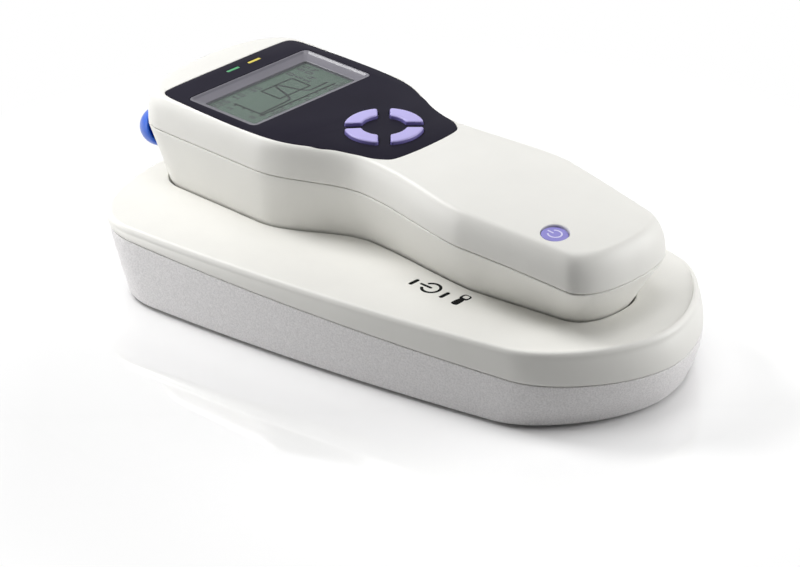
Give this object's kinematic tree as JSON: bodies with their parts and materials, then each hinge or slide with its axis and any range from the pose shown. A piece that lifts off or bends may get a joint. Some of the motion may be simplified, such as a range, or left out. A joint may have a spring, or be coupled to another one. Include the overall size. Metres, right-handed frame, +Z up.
{
  "type": "tympanometer",
  "caption": "Hand-held tympanometer with display, lilac arrow keys and a blue ear tip, lying in its white charging cradle",
  "frame": {"origin": "on the floor below the middle of the object's bounding box", "axes": "+X from the probe to the handle end, +Y to the handset's right, +Z up"},
  "size_m": [0.2364, 0.1272, 0.0586],
  "materials": {
    "shell_white": "satin white moulded plastic",
    "base_white": "spark textured light grey plastic",
    "plate_dark": "dark satin membrane",
    "key_lilac": "lilac silicone",
    "tip_blue": "blue silicone",
    "cone_navy": "navy plastic",
    "part_black": "black plastic",
    "part_grey": "grey plastic",
    "part_steel": "bright steel",
    "part_gold": "gold plated contacts",
    "board_green": "green circuit board",
    "pane_clear": "clear window",
    "panel_grey": "liquid crystal panel",
    "light_green": "green light pipe",
    "light_yellow": "yellow light pipe",
    "cell_blue": "sleeved battery cell",
    "tube_clear": "silicone tube"
  },
  "bodies": {
    "cradle": {"cradle_base": "base_white", "cradle_cover": "shell_white", "cradle_feet": "part_black", "cradle_screws": "part_steel", "cradle_board": "board_green", "indicator_lamps": "shell_white", "indicator_bars": "part_black", "pin_barrels": "part_gold", "power_inlet": "part_black"},
    "handset": {"lower_shell": "shell_white", "upper_shell": "shell_white", "shell_screws": "part_steel", "face_plate": "plate_dark", "display_frame": "part_grey", "display_window": "pane_clear", "display_panel": "panel_grey", "status_light_green": "light_green", "status_light_yellow": "light_yellow", "main_board": "board_green", "key_switches": "part_black", "power_switch": "part_black", "power_board": "board_green", "battery_tray": "part_black", "battery_cells": "cell_blue", "battery_contacts": "part_steel", "charge_contacts": "part_gold", "probe_housing": "cone_navy", "probe_core": "part_grey", "receiver": "part_steel", "microphone": "part_steel", "air_tube": "tube_clear", "release_valve": "part_grey", "pressure_sensor": "part_black", "pump_frame": "part_grey", "pump_motor": "part_steel", "pump_cylinder": "tube_clear"},
    "charge_pin_left": {"charge_pin_left": "part_gold"},
    "charge_pin_right": {"charge_pin_right": "part_gold"},
    "key_up": {"key_up": "key_lilac"},
    "key_down": {"key_down": "key_lilac"},
    "key_left": {"key_left": "key_lilac"},
    "key_right": {"key_right": "key_lilac"},
    "power_button": {"power_button": "key_lilac"},
    "nose_cone": {"nose_cone": "cone_navy"},
    "ear_tip": {"ear_tip": "tip_blue"},
    "pump_screw": {"pump_screw": "part_steel"},
    "pump_piston": {"pump_piston": "part_black"}
  },
  "joints": [
    {"name": "handset_lift", "type": "slide", "parent": "cradle", "child": "handset", "axis": [0, 0, 1], "range_m": [0, 0.06]},
    {"name": "charge_pin_left_press", "type": "slide", "parent": "cradle", "child": "charge_pin_left", "axis": [0, 0, -1], "range_m": [0, 0.001], "stiffness_N_per_m": 300},
    {"name": "charge_pin_right_press", "type": "slide", "parent": "cradle", "child": "charge_pin_right", "axis": [0, 0, -1], "range_m": [0, 0.001], "stiffness_N_per_m": 300},
    {"name": "key_up_press", "type": "slide", "parent": "handset", "child": "key_up", "axis": [0, 0, -1], "range_m": [0, 0.0008], "stiffness_N_per_m": 800},
    {"name": "key_down_press", "type": "slide", "parent": "handset", "child": "key_down", "axis": [0, 0, -1], "range_m": [0, 0.0008], "stiffness_N_per_m": 800},
    {"name": "key_left_press", "type": "slide", "parent": "handset", "child": "key_left", "axis": [0, 0, -1], "range_m": [0, 0.0008], "stiffness_N_per_m": 800},
    {"name": "key_right_press", "type": "slide", "parent": "handset", "child": "key_right", "axis": [0, 0, -1], "range_m": [0, 0.0008], "stiffness_N_per_m": 800},
    {"name": "power_button_press", "type": "slide", "parent": "handset", "child": "power_button", "axis": [-0.0865, 0, -0.9963], "range_m": [0, 0.0008], "stiffness_N_per_m": 800},
    {"name": "nose_cone_turn", "type": "hinge", "parent": "handset", "child": "nose_cone", "pos_m": [-0.08512, 0, 0.0343], "axis": [-0.9336, 0, -0.3584], "range_deg": [0, 720]},
    {"name": "ear_tip_pull", "type": "slide", "parent": "nose_cone", "child": "ear_tip", "axis": [-0.9336, 0, -0.3584], "range_m": [0, 0.012]},
    {"name": "pump_screw_turn", "type": "hinge", "parent": "handset", "child": "pump_screw", "pos_m": [-0.01212, 0.01, 0.031], "axis": [-1, 0, 0], "range_deg": [0, 4320]},
    {"name": "pump_piston_stroke", "type": "slide", "parent": "handset", "child": "pump_piston", "axis": [-1, 0, 0], "range_m": [0, 0.012]}
  ],
  "couplings": [
    {"joint": "pump_screw_turn", "follows": "pump_piston_stroke", "rad_per_m": 6283.2}
  ]
}
